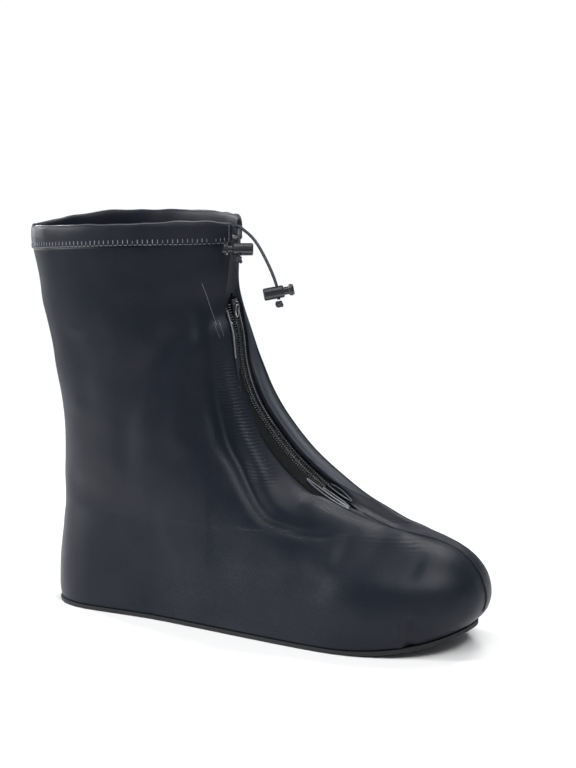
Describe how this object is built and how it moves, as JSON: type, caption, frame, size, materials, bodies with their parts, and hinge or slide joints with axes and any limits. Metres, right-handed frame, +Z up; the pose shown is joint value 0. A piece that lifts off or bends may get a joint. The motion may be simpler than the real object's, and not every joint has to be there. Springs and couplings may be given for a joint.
{
  "type": "waterproof shoe cover",
  "caption": "Ankle-high waterproof shoe cover with a flat welded sole, a curved front zip and a drawcord collar with barrel cord locks.",
  "frame": {"origin": "on the floor under the middle of the cover's box, cords and locks left out", "axes": "+X towards the toe, +Z up, +Y to the wearer's left"},
  "size_m": [0.3196, 0.1142, 0.262],
  "materials": {
    "coated_cloth": "semi-matt PVC-coated cloth, dark navy charcoal",
    "sole_sheet": "matt anti-slip PVC sheet",
    "gloss_facing": "glossy PVC face",
    "zip_tape": "woven tape",
    "zip_coil": "nylon coil",
    "zip_metal": "plated metal",
    "drawcord": "braided elastic cord",
    "lock_plastic": "moulded plastic"
  },
  "bodies": {
    "root": {"upper": "coated_cloth", "hem_casing": "coated_cloth", "toe_seam": "coated_cloth", "sole": "sole_sheet", "facing_near": "gloss_facing", "facing_far": "gloss_facing", "zip_tape": "zip_tape", "zip_end_tab": "zip_tape", "zip_chain": "zip_coil", "zip_slider": "zip_metal", "drawcord_long": "drawcord", "drawcord_short": "drawcord", "knot_long": "drawcord", "knot_short": "drawcord", "lock_long_barrel": "lock_plastic", "lock_short_barrel": "lock_plastic"},
    "pull": {"zip_pull": "zip_metal"},
    "plunger_long": {"lock_long_plunger": "lock_plastic"},
    "plunger_short": {"lock_short_plunger": "lock_plastic"}
  },
  "joints": [
    {"name": "pull_hinge", "type": "hinge", "parent": "root", "child": "pull", "pos_m": [-0.01429, 0, 0.20555], "axis": [0, -1, 0], "range_deg": [0, 150]},
    {"name": "long_press", "type": "slide", "parent": "root", "child": "plunger_long", "axis": [-0.8747, -0.4459, -0.1899], "range_m": [0, 0.0027], "stiffness_N_per_m": 300},
    {"name": "short_press", "type": "slide", "parent": "root", "child": "plunger_short", "axis": [0.891, 0.454, 0], "range_m": [0, 0.0027], "stiffness_N_per_m": 300}
  ]
}
